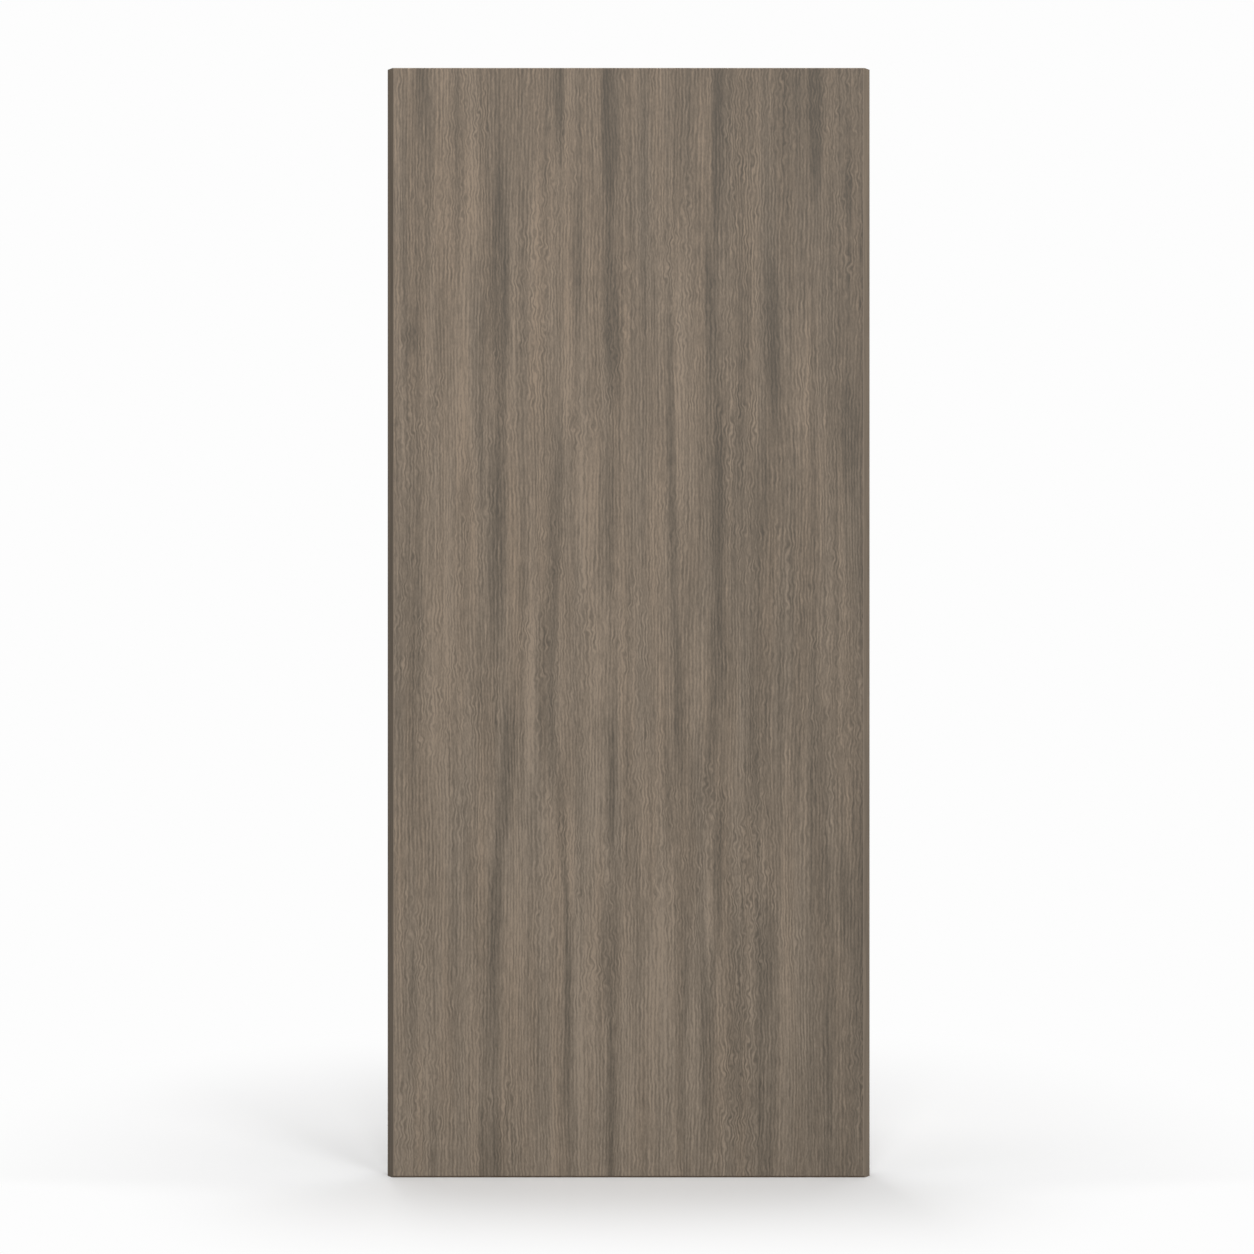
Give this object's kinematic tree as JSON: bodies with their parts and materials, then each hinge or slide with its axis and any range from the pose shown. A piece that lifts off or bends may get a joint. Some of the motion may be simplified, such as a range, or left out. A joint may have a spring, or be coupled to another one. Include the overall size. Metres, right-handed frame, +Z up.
{
  "type": "interior door leaf",
  "caption": "Flush interior door leaf in a grey-brown wood-grain decor, with bevelled long edges, ready for hinges and a lock.",
  "frame": {"origin": "foot of the hinge edge, on its flat, in the middle of the leaf's thickness", "axes": "+X across the leaf from the hinge edge to the lock edge, +Y through the leaf from the front face to the back face, +Z up"},
  "size_m": [0.915, 0.04, 2.1],
  "materials": {
    "decor_laminate": "matt grey-brown wood-grain laminate, grain upright",
    "decor_edge_band": "matt wood-grain band in the decor of the faces",
    "fibreboard": "brown hard fibreboard, cut edges bare",
    "frame_timber": "planed pale softwood",
    "chipboard": "bare extruded chipboard"
  },
  "bodies": {
    "root": {"front_laminate": "decor_laminate", "back_laminate": "decor_laminate", "hinge_edge_band": "decor_edge_band", "lock_edge_band": "decor_edge_band", "front_board": "fibreboard", "back_board": "fibreboard", "hinge_stile": "frame_timber", "lock_stile": "frame_timber", "top_rail": "frame_timber", "bottom_rail": "frame_timber", "hinge_side_block": "frame_timber", "lock_side_block": "frame_timber", "tube_core": "chipboard"}
  },
  "joints": []
}
